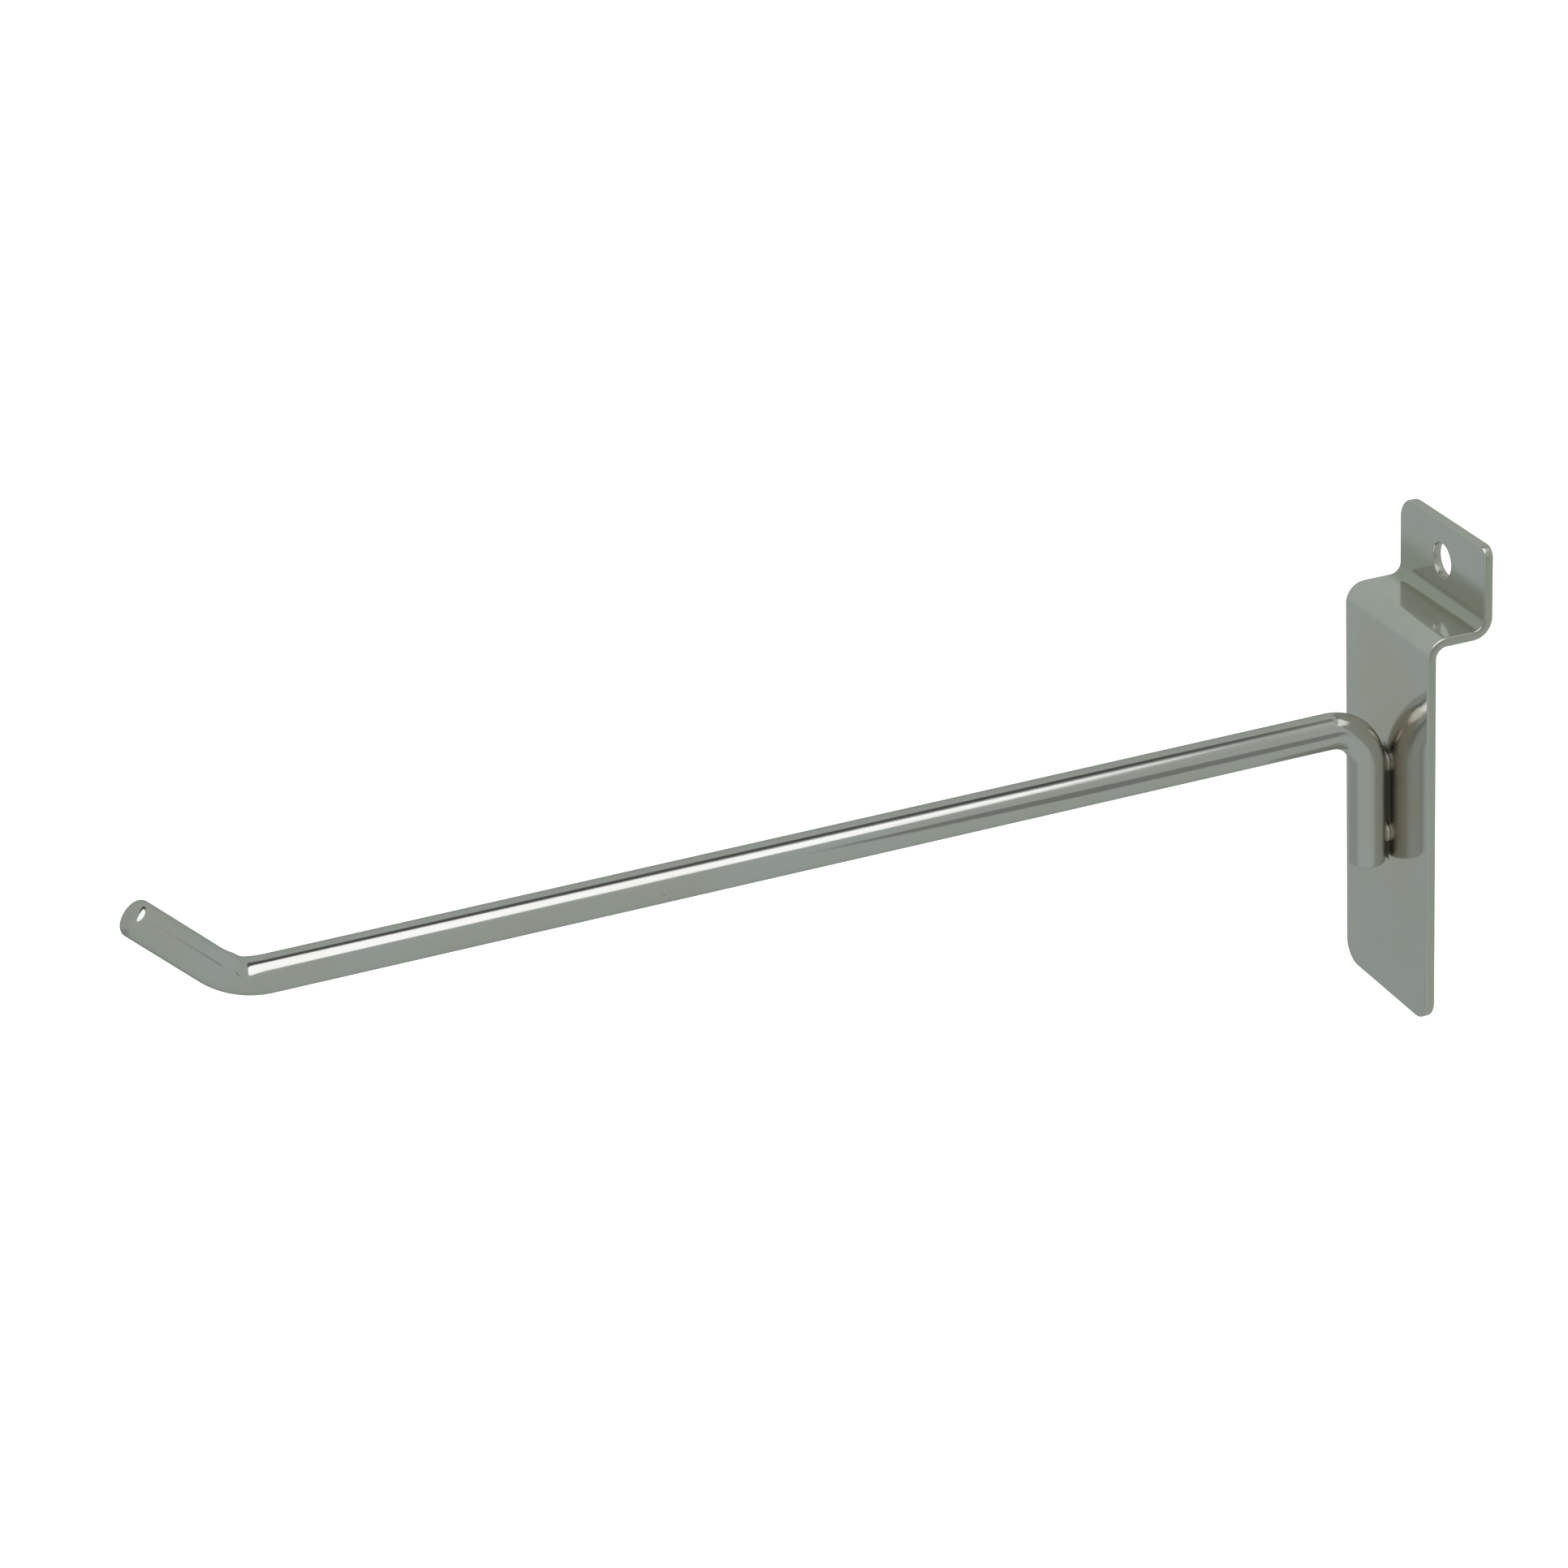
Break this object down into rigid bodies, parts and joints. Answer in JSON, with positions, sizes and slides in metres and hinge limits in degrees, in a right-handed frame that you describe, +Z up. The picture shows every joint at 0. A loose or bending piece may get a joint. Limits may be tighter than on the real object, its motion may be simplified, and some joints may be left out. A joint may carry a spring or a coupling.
{
  "type": "slatwall hook",
  "caption": "Chrome slatwall hook: a straight round wire arm with an upturned tip, welded to a folded back plate whose tongue hooks into a slatted wall panel's groove.",
  "frame": {"origin": "on the back face of the plate, which bears on the wall panel, at mid width and level with the arm's axis", "axes": "+Z up, -Y straight out of the wall along the arm, +Y into the wall, +X to the right when facing the wall"},
  "size_m": [0.0272, 0.2193, 0.0818],
  "materials": {
    "plate_chrome": "bright chrome plating on cold-rolled steel strip, tumbled edges",
    "wire_chrome": "bright chrome plating on drawn steel wire",
    "weld_chrome": "chrome plating over a rough resistance weld"
  },
  "bodies": {
    "root": {"back_plate": "plate_chrome", "wire_arm": "wire_chrome", "upper_weld": "weld_chrome", "lower_weld": "weld_chrome"}
  },
  "joints": []
}
